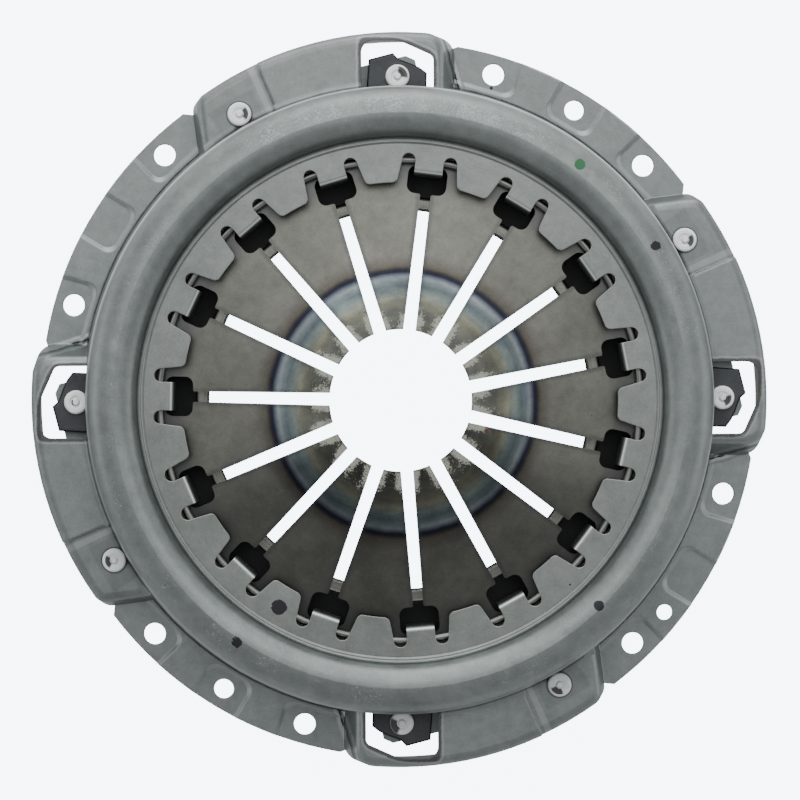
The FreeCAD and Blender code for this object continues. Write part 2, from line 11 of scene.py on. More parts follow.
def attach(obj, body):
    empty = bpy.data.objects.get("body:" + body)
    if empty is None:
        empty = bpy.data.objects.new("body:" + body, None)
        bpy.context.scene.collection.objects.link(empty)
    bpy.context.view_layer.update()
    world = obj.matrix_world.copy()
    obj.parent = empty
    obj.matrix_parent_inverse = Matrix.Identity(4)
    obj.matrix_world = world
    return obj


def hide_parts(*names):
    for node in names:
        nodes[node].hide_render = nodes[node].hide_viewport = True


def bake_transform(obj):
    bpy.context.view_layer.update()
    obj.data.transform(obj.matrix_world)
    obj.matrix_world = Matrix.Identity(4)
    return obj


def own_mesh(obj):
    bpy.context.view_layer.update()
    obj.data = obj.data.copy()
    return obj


bl_info = {
    "name": "Clutch Cover Workshop",
    "version": (1, 0, 0),
    "blender": (4, 5, 0),
    "location": "View3D > Sidebar > Clutch Cover",
    "description": "Makes the spring and the straps, finishes every piece and sets the stage",
    "category": "Object",
}

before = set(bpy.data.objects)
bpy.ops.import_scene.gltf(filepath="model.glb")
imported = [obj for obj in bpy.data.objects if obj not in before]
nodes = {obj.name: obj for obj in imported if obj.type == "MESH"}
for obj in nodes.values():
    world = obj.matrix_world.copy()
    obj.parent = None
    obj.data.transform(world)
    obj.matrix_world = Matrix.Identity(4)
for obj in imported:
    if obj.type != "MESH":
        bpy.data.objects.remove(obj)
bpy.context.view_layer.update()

# Sizes that the cover, the spring and the straps share, in metres and degrees
MM = 0.001
DEGREES = 180.0 / math.pi
QUARTERS = 4
QUARTER = 90.0
LUG_ANGLE = 0.4
RIVET_SWEEP = 28.9
COVER_RIVET_CIRCLE = 165.3 * MM
LUG_RIVET_CIRCLE = 163.3 * MM
SLOT_ANGLE = 11.0
PIVOT_RADIUS = 120.6 * MM
ANNULUS_HEIGHT = 45.0 * MM
SHEET = 4.0 * MM
WIRE = 4.0 * MM
WIRE_GAP = 0.04 * MM
PAD_UNDERSIDE = 18.0 * MM
CROWN_TOP = 147.6 * MM
RIVET_HEAD = 6.0 * MM

# Where each window ends, in its housing's frame, and how its far corner slants
WINDOW_REACH = 181.4 * MM
WINDOW_HALF = 18.2 * MM
WINDOW_SLANT = 24.25

# Spacing of the points inside the plans of a finger and of a strap leaf, and how near points merge
FINGER_SPACING = 3.0 * MM
LEAF_SPACING = 3.2 * MM
WELD = 0.01 * MM

# Ink marks on the cover: radius and angle of each, its own radius, and how ragged it is
INK_MARKS = (
    (148.4 * MM, 31.2, 2.3 * MM, 2.6 * MM),
    (142.0 * MM, 314.0, 2.4 * MM, 1.6 * MM),
    (125.3 * MM, 312.6, 0.35 * MM, 0.1 * MM),
    (145.2 * MM, 235.9, 2.3 * MM, 3.0 * MM),
    (119.9 * MM, 239.6, 3.7 * MM, 2.2 * MM),
    (165.6 * MM, 73.5, 0.6 * MM, 0.2 * MM),
)

# Radius and angle of the dot of paint on the cover, and of the spot of rust on the spring
PAINT_DOT = (147.5 * MM, 52.8)
RUST_SPOT = (45.5 * MM, 340.0)

# The dark crescent on each rivet's head: its direction, its distance from the middle and its half width
COVER_CRESCENTS = (
    (-8.0, 3.3 * MM, 1.0 * MM),
    (6.0, 3.3 * MM, 1.0 * MM),
    (192.0, 3.3 * MM, 1.0 * MM),
    (246.0, 3.4 * MM, 1.2 * MM),
)
LUG_CRESCENTS = (
    (335.0, 3.0 * MM, 1.2 * MM),
    (38.0, 3.4 * MM, 1.5 * MM),
    (190.0, 1.9 * MM, 0.2 * MM),
    (200.0, 4.2 * MM, 1.4 * MM),
)

# Tones laid over the cover's steel, painted highlights and painted shade among them
RUBBED = (0.60, 0.64, 0.64)
DUST = (0.50, 0.52, 0.52)
PIT_AND_HOLLOW_SHADE = (0.10, 0.11, 0.11)
HAIRLINE = (0.46, 0.48, 0.48)
RIDGE_HIGHLIGHT = (0.52, 0.55, 0.55)
CREASE_SHADE = (0.06, 0.066, 0.066)
WINDOW_RIM_DARK = (0.07, 0.068, 0.065)
CONTACT_SHADOW_TONE = (0.04, 0.044, 0.044)
STEP_HIGHLIGHT_TONE = (0.50, 0.53, 0.53)
FOOT_SHADE_TONE = (0.08, 0.09, 0.09)
RIM_WEAR_AND_HIGHLIGHT = (0.58, 0.62, 0.62)
RISER_HIGHLIGHT_TONE = (0.52, 0.56, 0.56)
PALE_HIGHLIGHT = (0.80, 0.84, 0.84)
BEAD_HIGHLIGHT_TONE = (0.62, 0.65, 0.63)
THIN_DARK_LINE_TONE = (0.07, 0.075, 0.07)
GROOVE = (0.08, 0.085, 0.085)
BEND_SHADE_TONE = (0.06, 0.075, 0.075)
PAINT = (0.012, 0.115, 0.035)
INK = (0.004, 0.004, 0.008)

# Tones laid over the spring's steel, painted light and painted shade among them
SLOT_SIDE = (0.06, 0.063, 0.072)
CRUST = (0.44, 0.44, 0.38)
BRIM = (0.42, 0.42, 0.39)
RUST = (0.20, 0.07, 0.035)
HEM = (0.08, 0.067, 0.054)
UNDER_RIM = (0.08, 0.08, 0.10)
PALE_RIM_LIGHT = (0.45, 0.45, 0.42)
DOT = (0.07, 0.07, 0.07)

# Heat tints of the spring: distance in mm from the tints' middle, and colour
TINT_MIDDLE = (1.3 * MM, -1.3 * MM)
TINT_SPAN = 160.0
HEAT_TINTS = (
    (34.0, (0.134, 0.137, 0.127)),
    (46.0, (0.127, 0.131, 0.114)),
    (49.5, (0.174, 0.174, 0.137)),
    (52.5, (0.255, 0.261, 0.211)),
    (55.5, (0.214, 0.258, 0.251)),
    (58.7, (0.134, 0.168, 0.178)),
    (61.0, (0.181, 0.218, 0.231)),
    (62.8, (0.281, 0.315, 0.335)),
    (64.2, (0.147, 0.171, 0.201)),
    (65.5, (0.030, 0.034, 0.060)),
    (66.8, (0.040, 0.037, 0.047)),
    (68.8, (0.134, 0.127, 0.107)),
    (75.0, (0.214, 0.214, 0.194)),
    (110.0, (0.214, 0.218, 0.191)),
    (122.0, (0.174, 0.178, 0.178)),
)

# How streaks of haze turn the tints inside the dark ring cooler or warmer
HAZE_TINTS = ((0.36, (0.82, 0.85, 0.92)), (0.5, (1.0, 1.0, 1.0)), (0.64, (1.14, 1.14, 1.08)))

# Brightness of the sky, from the side at -Y to the side at +Y
SKY_LEVELS = (
    (0.0, 0.19), (0.06, 0.20), (0.15, 0.21), (0.25, 0.205), (0.35, 0.195),
    (0.42, 0.18), (0.46, 0.20), (0.5, 0.245), (0.54, 0.33), (0.60, 0.42),
    (0.68, 0.44), (0.76, 0.43), (0.84, 0.46), (0.92, 0.80), (1.0, 1.4),
)

# The table: its half width, how far it lies below the part, and how bright the camera sees it
TABLE_REACH = 12.0
TABLE_GAP = 0.3 * MM
TABLE_SEEN = 9.0

# Lamps: place, width in metres, power in watts, and whether the metal mirrors it
LAMPS = {
    "near_lamp": ((0.0, 0.65, 1.05), 1.2, 3.4, True),
    "fill_lamp": ((0.0, 1.6, 1.3), 1.6, 30.0, False),
}


def cosine(angle):
    return math.cos(math.radians(angle))


def sine(angle):
    return math.sin(math.radians(angle))


def polar(radius, angle, height=0.0):
    return Vector((radius * cosine(angle), radius * sine(angle), height))


def pivot_height(thickness, cone):
    """Height of the spring's middle between its two wire rings."""
    offset = ((WIRE + thickness) / 2 + WIRE_GAP) / cosine(cone)
    return ANNULUS_HEIGHT - SHEET - (WIRE / 2 + offset + WIRE_GAP)


# Node trees


class Socket:
    """A value in a node tree; arithmetic on it adds Math nodes."""

    def __init__(self, graph, source):
        self.graph = graph
        self.source = source

    def __add__(self, other):
        return self.graph.math("ADD", self, other)

    def __radd__(self, other):
        return self.graph.math("ADD", other, self)

    def __sub__(self, other):
        return self.graph.math("SUBTRACT", self, other)

    def __rsub__(self, other):
        return self.graph.math("SUBTRACT", other, self)

    def __mul__(self, other):
        return self.graph.math("MULTIPLY", self, other)

    def __rmul__(self, other):
        return self.graph.math("MULTIPLY", other, self)

    def __truediv__(self, other):
        return self.graph.math("DIVIDE", self, other)

    def __rtruediv__(self, other):
        return self.graph.math("DIVIDE", other, self)

    def __neg__(self):
        return self.graph.math("MULTIPLY", self, -1.0)


class Graph:
    """A node tree being built, for a shader or for geometry."""

    def __init__(self, tree, prefix):
        self.tree = tree
        self.prefix = prefix

    def add(self, kind, settings=None, values=None, output=0):
        """Add a node, set its settings first and then its inputs, and give back one output."""
        node = self.tree.nodes.new(kind)
        for name, value in (settings or {}).items():
            if name == "stops":
                fill_ramp(node.color_ramp, value)
            else:
                setattr(node, name, value)
        for name, value in (values or {}).items():
            self.feed(node.inputs[name], value)
        return Socket(self, node.outputs[output])

    def feed(self, slot, value):
        if isinstance(value, Socket):
            self.tree.links.new(value.source, slot)
        else:
            slot.default_value = value

    def math(self, operation, *values):
        return self.add(self.prefix, {"operation": operation}, dict(enumerate(values)))

    def parts_of(self, vector):
        node = self.tree.nodes.new("ShaderNodeSeparateXYZ")
        self.feed(node.inputs[0], vector)
        return [Socket(self, output) for output in node.outputs]

    def joined(self, x, y, z):
        return self.add("ShaderNodeCombineXYZ", values={0: x, 1: y, 2: z})

    def smooth(self, value, low, high):
        """0 below low, 1 above high and a smooth step between them."""
        settings = {"interpolation_type": "SMOOTHSTEP"}
        bounds = {"Value": value, "From Min": low, "From Max": high}
        return self.add("ShaderNodeMapRange", settings, bounds, "Result")


def greys(levels):
    """Stops of plain grey for a ramp, from pairs of position and brightness."""
    return [(position, (level, level, level)) for position, level in levels]


def fill_ramp(ramp, stops):
    while len(ramp.elements) < len(stops):
        ramp.elements.new(0.5)
    for element, (position, colour) in zip(ramp.elements, stops):
        element.position = position
        element.color = (*colour, 1.0)


def input_ids(tree):
    return {item.name: item.identifier for item in tree.interface.items_tree if item.in_out == "INPUT"}


class GeometryTree(Graph):
    """A Geometry Nodes tree with named inputs for its sizes."""

    def __init__(self, name, sizes):
        tree = bpy.data.node_groups.new(name, "GeometryNodeTree")
        super().__init__(tree, "ShaderNodeMath")
        tree.interface.new_socket("Geometry", in_out="OUTPUT", socket_type="NodeSocketGeometry")
        tree.interface.new_socket("Geometry", in_out="INPUT", socket_type="NodeSocketGeometry")
        for size_name, value in sizes.items():
            kind = "NodeSocketInt" if isinstance(value, int) else "NodeSocketFloat"
            item = tree.interface.new_socket(size_name, in_out="INPUT", socket_type=kind)
            item.default_value = value
        tree.interface.new_socket("Material", in_out="INPUT", socket_type="NodeSocketMaterial")
        self.group = tree.nodes.new("NodeGroupInput")

    def given(self, name):
        return Socket(self, self.group.outputs[name])

    def finish(self, geometry):
        """Realize what is instanced, give it the material and hand it out."""
        real = self.add("GeometryNodeRealizeInstances", values={"Geometry": geometry})
        values = {"Geometry": real, "Material": self.given("Material")}
        dressed = self.add("GeometryNodeSetMaterial", values=values)
        out = self.tree.nodes.new("NodeGroupOutput")
        self.feed(out.inputs["Geometry"], dressed)

    def placed(self, geometry, x, y, z):
        values = {"Geometry": geometry, "Position": self.joined(x, y, z)}
        return self.add("GeometryNodeSetPosition", values=values)

    def welded(self, geometry, distance):
        return self.add("GeometryNodeMergeByDistance", values={"Geometry": geometry, "Distance": distance})

    def thickened(self, sheet, thickness):
        """Raise a sheet by a thickness and close it below."""
        raised = self.add(
            "GeometryNodeExtrudeMesh",
            {"mode": "FACES"},
            {
                "Mesh": sheet,
                "Offset": self.joined(0.0, 0.0, thickness),
                "Offset Scale": 1.0,
                "Individual": False,
            },
        )
        bottom = self.add("GeometryNodeFlipFaces", values={"Mesh": sheet})
        both = self.tree.nodes.new("GeometryNodeJoinGeometry")
        for part in (raised, bottom):
            self.tree.links.new(part.source, both.inputs[0])
        return self.welded(Socket(self, both.outputs[0]), WELD)

    def around(self, geometry, count, start=0.0):
        """Instances of the geometry, turned evenly about Z."""
        line = self.add(
            "GeometryNodeMeshLine",
            values={"Count": count, "Start Location": (0, 0, 0), "Offset": (0, 0, 0)},
        )
        index = self.add("GeometryNodeInputIndex")
        turn = self.joined(0.0, 0.0, index * (2 * math.pi) / count + start)
        values = {"Points": line, "Instance": geometry, "Rotation": turn}
        return self.add("GeometryNodeInstanceOnPoints", values=values)


def run_tree(name, base, tree, material, sizes=None, modifiers=()):
    """Run a tree on a mesh, with finishing modifiers after it, and keep the plain mesh."""
    holder = bpy.data.objects.new(name + "_source", base)
    bpy.context.scene.collection.objects.link(holder)
    modifier = holder.modifiers.new("Shape", "NODES")
    modifier.node_group = tree.tree
    ids = input_ids(tree.tree)
    modifier[ids["Material"]] = material
    for size_name, value in (sizes or {}).items():
        modifier[ids[size_name]] = value
    for kind, settings in modifiers:
        extra = holder.modifiers.new(kind.title(), kind)
        for key, value in settings.items():
            setattr(extra, key, value)
    evaluated = holder.evaluated_get(bpy.context.evaluated_depsgraph_get())
    mesh = bpy.data.meshes.new_from_object(evaluated)
    mesh.name = name
    bpy.data.objects.remove(holder)
    piece = bpy.data.objects.new(name, mesh)
    bpy.context.scene.collection.objects.link(piece)
    return piece


def flat_sheet(name, loops, spacing, keep_inside):
    """A flat mesh inside the first loop and outside the others, with inner points at a spacing."""
    points = []
    edges = []
    for loop in loops:
        first = len(points)
        points += loop
        count = len(loop)
        edges += [(first + index, first + (index + 1) % count) for index in range(count)]
    xs = [point[0] for point in points]
    ys = [point[1] for point in points]
    across = math.ceil((max(xs) - min(xs)) / spacing)
    along = math.ceil((max(ys) - min(ys)) / spacing)
    clear = 0.6 * spacing
    fixed = [Vector(point) for point in points]
    inner = []
    for i in range(across):
        for j in range(along):
            spot = Vector((min(xs) + (i + 0.5) * spacing, min(ys) + (j + 0.5) * spacing))
            if keep_inside(spot) and all((spot - other).length > clear for other in fixed):
                inner.append(spot)
    tolerance = 1e-7
    found = delaunay_2d_cdt([*fixed, *inner], edges, [], 0, tolerance)
    vertices = [(point.x, point.y, 0.0) for point in found[0]]
    faces = []
    for face in found[2]:
        middle = sum((found[0][index] for index in face), Vector((0, 0))) / len(face)
        if keep_inside(middle):
            faces.append(face)
    mesh = bpy.data.meshes.new(name)
    mesh.from_pydata(vertices, [], faces)
    shaped = bmesh.new()
    shaped.from_mesh(mesh)
    bmesh.ops.delete(shaped, geom=[v for v in shaped.verts if not v.link_faces], context="VERTS")
    for face in shaped.faces:
        if face.normal.z < 0:
            face.normal_flip()
    shaped.to_mesh(mesh)
    shaped.free()
    return mesh


def arc_points(centre, radius, start, end, count):
    """Points along an arc, its end included."""
    made = []
    for index in range(count + 1):
        angle = start + (end - start) * index / count
        made.append((centre[0] + radius * cosine(angle), centre[1] + radius * sine(angle)))
    return made


def smooth_shaded(piece, sharp=30.0):
    mesh = piece.data
    mesh.shade_smooth()
    mesh.set_sharp_from_angle(angle=math.radians(sharp))


# Diaphragm spring


def spring_sector(sizes):
    """One finger with its share of the rim, flat, between the middles of two slots."""
    half = 180.0 / sizes.count
    tip = sizes.tip_radius
    rim = sizes.outer_radius
    hole_in = sizes.hole_inner_radius
    hole_out = sizes.hole_outer_radius
    width = sizes.hole_half_width
    corner = sizes.hole_corner
    at_tip = sizes.slot_half_tip
    at_root = sizes.slot_half_root

    def slot_half(x):
        return at_tip + (at_root - at_tip) * (x - tip) / (hole_in - tip)

    side = []
    steps = 14
    mouth = 0.6 * MM
    start_x = math.sqrt(tip**2 - at_tip**2)
    for index in range(steps + 1):
        x = start_x + (hole_in - mouth - start_x) * index / steps
        side.append((x, slot_half(x)))
    side += [(hole_in, slot_half(hole_in) + mouth)]
    side += arc_points((hole_in + corner, width - corner), corner, 180.0, 90.0, 6)
    side += arc_points((hole_out - corner, width - corner), corner, 90.0, 0.0, 6)
    side += [(hole_out, width * 0.3), (hole_out, 0.0)]
    steps = 6
    side += [(hole_out + (rim - hole_out) * index / steps, 0.0) for index in range(1, steps)]

    def turn(point, angle):
        x, y = point
        return (x * cosine(angle) - y * sine(angle), x * sine(angle) + y * cosine(angle))

    lower = [turn(point, -half) for point in side]
    upper = [turn((x, -y), half) for x, y in side]
    tip_half = half - math.degrees(math.atan2(at_tip, start_x))
    outer = arc_points((0, 0), rim, -half, half, 24)
    inner = arc_points((0, 0), tip, tip_half, -tip_half, 8)[1:-1]
    loop = lower + outer + upper[::-1] + inner

    def inside(spot):
        radius = spot.length
        if not tip < radius < rim:
            return False
        for sign in (-1, 1):
            x, y = turn((spot.x, spot.y), -sign * half)
            y = -sign * y
            if y < 0:
                return False
            if x < hole_in and y < slot_half(x):
                return False
            if hole_in <= x <= hole_out and y < width:
                dx = max(hole_in + corner - x, x - (hole_out - corner), 0.0)
                dy = max(y - (width - corner), 0.0)
                if math.hypot(dx, dy) < corner:
                    return False
        return True

    return flat_sheet("finger_sector", [loop], FINGER_SPACING, inside)


def spring_tree(sizes):
    """Sectors turned about the axis, coned by their radius and raised to a thickness."""
    tree = GeometryTree(
        "Diaphragm spring",
        {
            "Fingers": sizes.count,
            "Cone": math.tan(math.radians(sizes.cone)),
            "Pivot Radius": PIVOT_RADIUS,
            "Pivot Height": pivot_height(sizes.thickness, sizes.cone),
            "Thickness": sizes.thickness / cosine(sizes.cone),
            "First Slot": math.radians(SLOT_ANGLE + 180.0 / sizes.count),
        },
    )
    ring = tree.around(tree.given("Geometry"), tree.given("Fingers"), tree.given("First Slot"))
    ring = tree.add("GeometryNodeRealizeInstances", values={"Geometry": ring})
    ring = tree.welded(ring, 2 * WELD)
    x, y = tree.parts_of(tree.add("GeometryNodeInputPosition"))[:2]
    radius = tree.math("SQRT", x * x + y * y)
    level = tree.given("Pivot Height") + (tree.given("Pivot Radius") - radius) * tree.given("Cone")
    under = level - tree.given("Thickness") / 2.0
    tree.finish(tree.thickened(tree.placed(ring, x, y, under), tree.given("Thickness")))
    return tree


# Straps


def strap_run():
    """A strap's first rivet, its direction in degrees and its rivet pitch, for the lug on X."""
    start = polar(COVER_RIVET_CIRCLE, RIVET_SWEEP)
    run = polar(LUG_RIVET_CIRCLE, 0.0) - start
    return start, math.degrees(math.atan2(run.y, run.x)), run.length


def strap_plan(sizes):
    """One leaf's flat outline with its two rivet holes."""
    pitch = strap_run()[2]
    near = -sizes.end
    far = pitch + sizes.end
    half = sizes.width / 2
    cut_x = 4.1 * MM
    cut_y = 3.2 * MM
    edge = [(near + cut_x, -half)]
    steps = 30
    edge += [(near + cut_x + (far - near - 2 * cut_x) * index / steps, -half) for index in range(1, steps)]
    edge += [(far - cut_x, -half), (far, -half + cut_y), (far, half - cut_y), (far - cut_x, half)]
    edge += [(far - cut_x - (far - near - 2 * cut_x) * index / steps, half) for index in range(1, steps)]
    edge += [(near + cut_x, half), (near, half - cut_y), (near, -half + cut_y)]
    hole = sizes.hole_radius
    rings = [arc_points((at, 0.0), hole, 360.0, 0.0, 20)[:-1] for at in (0.0, pitch)]

    def inside(spot):
        if abs(spot.y) > half or not near < spot.x < far:
            return False
        from_end = min(spot.x - near, far - spot.x)
        if from_end < cut_x and abs(spot.y) > half - cut_y + from_end * cut_y / cut_x:
            return False
        return all(math.hypot(spot.x - at, spot.y) > hole for at in (0.0, pitch))

    return flat_sheet("strap_leaf", [edge, *rings], LEAF_SPACING, inside)


def strap_tree(sizes):
    """Leaves bent as a guided beam bends, stacked, and turned to one strap's place."""
    tree = GeometryTree(
        "Strap pack",
        {
            "Leaves": sizes.leaves,
            "Leaf Thickness": sizes.leaf_thickness,
            "Drop": sizes.drop,
            "Bend Start": sizes.clamp,
            "Bend End": strap_run()[2] - sizes.lug_clamp,
            "Top": PAD_UNDERSIDE,
            "Quarter Turn": 0.0,
        },
    )
    x, y = tree.parts_of(tree.add("GeometryNodeInputPosition"))[:2]
    bend = tree.smooth(x, tree.given("Bend Start"), tree.given("Bend End"))
    level = tree.given("Top") - tree.given("Drop") * bend - tree.given("Leaf Thickness")
    bent = tree.placed(tree.given("Geometry"), x, y, level)
    leaf = tree.thickened(bent, tree.given("Leaf Thickness"))
    stack = tree.add(
        "GeometryNodeMeshLine",
        values={
            "Count": tree.given("Leaves"),
            "Start Location": (0, 0, 0),
            "Offset": tree.joined(0.0, 0.0, -tree.given("Leaf Thickness")),
        },
    )
    pack = tree.add("GeometryNodeInstanceOnPoints", values={"Points": stack, "Instance": leaf})
    pack = tree.add("GeometryNodeRealizeInstances", values={"Geometry": pack})
    start, angle = strap_run()[:2]
    placed = tree.add(
        "GeometryNodeTransform",
        values={"Geometry": pack, "Translation": start, "Rotation": (0, 0, math.radians(angle))},
    )
    turned = tree.add(
        "GeometryNodeTransform",
        values={"Geometry": placed, "Rotation": tree.joined(0.0, 0.0, tree.given("Quarter Turn"))},
    )
    tree.finish(turned)
    return tree


# Finishes


class Finish(Graph):
    """A material whose maps follow the piece's own coordinates, in metres."""

    ROUND_REACH = 140.0 * MM

    def __init__(self, name):
        self.material = bpy.data.materials.new(name)
        self.material.use_nodes = True
        tree = self.material.node_tree
        super().__init__(tree, "ShaderNodeMath")
        self.shader = tree.nodes["Principled BSDF"]
        self.place = self.add("ShaderNodeTexCoord", output="Object")
        self.x, self.y, self.z = self.parts_of(self.place)
        self.radius = self.math("SQRT", self.x * self.x + self.y * self.y)

    def noise(self, scale, detail=4.0, roughness=0.55, place=None):
        values = {"Vector": place or self.place, "Scale": scale, "Detail": detail, "Roughness": roughness}
        return self.add("ShaderNodeTexNoise", {"noise_dimensions": "3D"}, values, "Fac")

    def specks(self, spacing, size, place=None):
        """Small dots, one to a cell, that fade out at their edges."""
        values = {"Vector": place or self.place, "Scale": 1.0 / spacing, "Randomness": 1.0}
        away = self.add("ShaderNodeTexVoronoi", {"feature": "F1"}, values, "Distance")
        return 1.0 - self.smooth(away, size / spacing * 0.6, size / spacing)

    def colours(self, value, stops):
        return self.add("ShaderNodeValToRGB", {"stops": stops}, {0: value}, "Color")

    def mixed(self, factor, first, second, blend="MIX"):
        """Mix two colours; each may be a socket or a plain colour."""
        node = self.tree.nodes.new("ShaderNodeMix")
        node.data_type = "RGBA"
        node.blend_type = blend
        for slot, value in ((0, factor), (6, first), (7, second)):
            if isinstance(value, tuple) and len(value) == 3:
                value = (*value, 1.0)
            self.feed(node.inputs[slot], value)
        return Socket(self, node.outputs[2])

    def shaded(self, colour, value, low, high):
        """Multiply a colour by a grey that runs from low to high as the value goes from 0.3 to 0.7."""
        return self.mixed(1.0, colour, self.colours(value, greys([(0.3, low), (0.7, high)])), "MULTIPLY")

    def laid(self, base, *layers):
        """Lay colours over a base, one after another, each by its own share."""
        for share, colour in layers:
            base = self.mixed(share, base, colour)
        return base

    def band(self, value, middle, half, soft):
        """1 within half of the middle, fading out over soft."""
        away = self.math("ABSOLUTE", value - middle)
        return 1.0 - self.smooth(away, half, half + soft)

    def away_from(self, centre):
        dx = self.x - centre[0]
        dy = self.y - centre[1]
        return self.math("SQRT", dx * dx + dy * dy)

    def spot(self, centre, radius, soft, ragged=0.0, grain=900.0):
        """A mark about a point, with an edge made ragged by noise."""
        away = self.away_from(centre)
        if ragged:
            away = away + (self.noise(grain, 2.0) - 0.5) * ragged
        return 1.0 - self.smooth(away, radius, radius + soft)

    def either(self, *masks):
        found = masks[0]
        for mask in masks[1:]:
            found = self.math("MAXIMUM", found, mask)
        return found

    def turn(self):
        """Angle about the axis in degrees, from -180 to 180."""
        return self.math("ARCTAN2", self.y, self.x) * DEGREES

    def on_annulus(self):
        return 1.0 - self.smooth(self.radius, 128.0 * MM, 131.0 * MM)

    def round_place(self, length, width):
        """Coordinates that stretch a pattern along circles about the axis."""
        reach = self.ROUND_REACH / length
        return self.joined(self.x / self.radius * reach, self.y / self.radius * reach, self.radius / width)

    def folded(self):
        """Angle from the nearest housing's middle line in degrees, and x and y in that housing's frame."""
        turned = self.turn() + (360.0 + QUARTER / 2 - LUG_ANGLE)
        angle = self.math("MODULO", turned, QUARTER) - QUARTER / 2
        radians = angle / DEGREES
        return angle, self.radius * self.math("COSINE", radians), self.radius * self.math("SINE", radians)

    def scratches(self, angle, length, thickness, amount):
        """Thin marks along one direction."""
        scale = (1 / length, 1 / thickness, 1 / thickness)
        values = {0: self.place, 2: (0.0, 0.0, math.radians(angle)), 3: scale}
        lines = self.noise(1.0, 2.0, 0.5, self.add("ShaderNodeMapping", values=values))
        return self.smooth(lines, amount, amount + 0.05)

    def bevel(self, radius):
        return self.add("ShaderNodeBevel", {"samples": 6}, {"Radius": radius}, "Normal")

    def edges(self, softened, low=0.03, high=0.25):
        """1 on edges and in corners, where a softened normal leaves the surface's own."""
        plain = self.add("ShaderNodeNewGeometry", output="Normal")
        settings = {"operation": "DOT_PRODUCT"}
        along = self.add("ShaderNodeVectorMath", settings, {0: softened, 1: plain}, "Value")
        return self.smooth(1.0 - along, low, high)

    def upright(self):
        """How far the surface faces up or down: 1 on flats, 0 on walls."""
        normal = self.add("ShaderNodeNewGeometry", output="Normal")
        return self.math("ABSOLUTE", self.parts_of(normal)[2])

    def bump(self, height, distance, strength=1.0, under=None):
        values = {"Height": height, "Distance": distance, "Strength": strength}
        if under:
            values["Normal"] = under
        return self.add("ShaderNodeBump", values=values, output="Normal")

    def dress(self, **sockets):
        """Set the shader's inputs by name, with spaces for underscores."""
        for name, value in sockets.items():
            if isinstance(value, tuple) and len(value) == 3:
                value = (*value, 1.0)
            self.feed(self.shader.inputs[name.replace("_", " ")], value)
        return self.material


def cover_wear(f, base, clouds, patches):
    """Rubbed and dusty places, pits and hairlines; gives the colour and where it is pale."""
    flecks = f.noise(950.0, 3.0, 0.7)
    where = f.smooth(f.noise(70.0, 4.0, 0.6), 0.50, 0.60)
    on_crown = f.band(f.radius, CROWN_TOP, 2.4 * MM, 3.5 * MM)
    top_side = f.smooth(f.y / f.radius, 0.72, 0.99)
    worn = f.smooth(flecks + where * 0.10 + on_crown * (0.02 + top_side * 0.10), 0.69, 0.74)
    dusty = f.smooth(flecks + where * 0.06 + f.on_annulus() * 0.03, 0.70, 0.78)
    pale = f.either(worn * (0.25 + on_crown * 0.75), dusty * 0.5)
    dust = f.specks(5.5 * MM, 0.42 * MM) * f.smooth(patches, 0.5, 0.6)
    pits = f.specks(9.0 * MM, 0.5 * MM, f.round_place(22.0 * MM, 6.0 * MM)) * f.smooth(clouds, 0.45, 0.6)
    hairs = f.scratches(24.0, 20.0 * MM, 0.35 * MM, 0.69) * f.smooth(f.noise(18.0, 3.0), 0.52, 0.62)
    base = f.laid(base, (pale * 0.55, RUBBED), (dust * 0.6, DUST))
    return f.laid(base, (pits * 0.5, PIT_AND_HOLLOW_SHADE), (hairs * 0.45, HAIRLINE)), pale


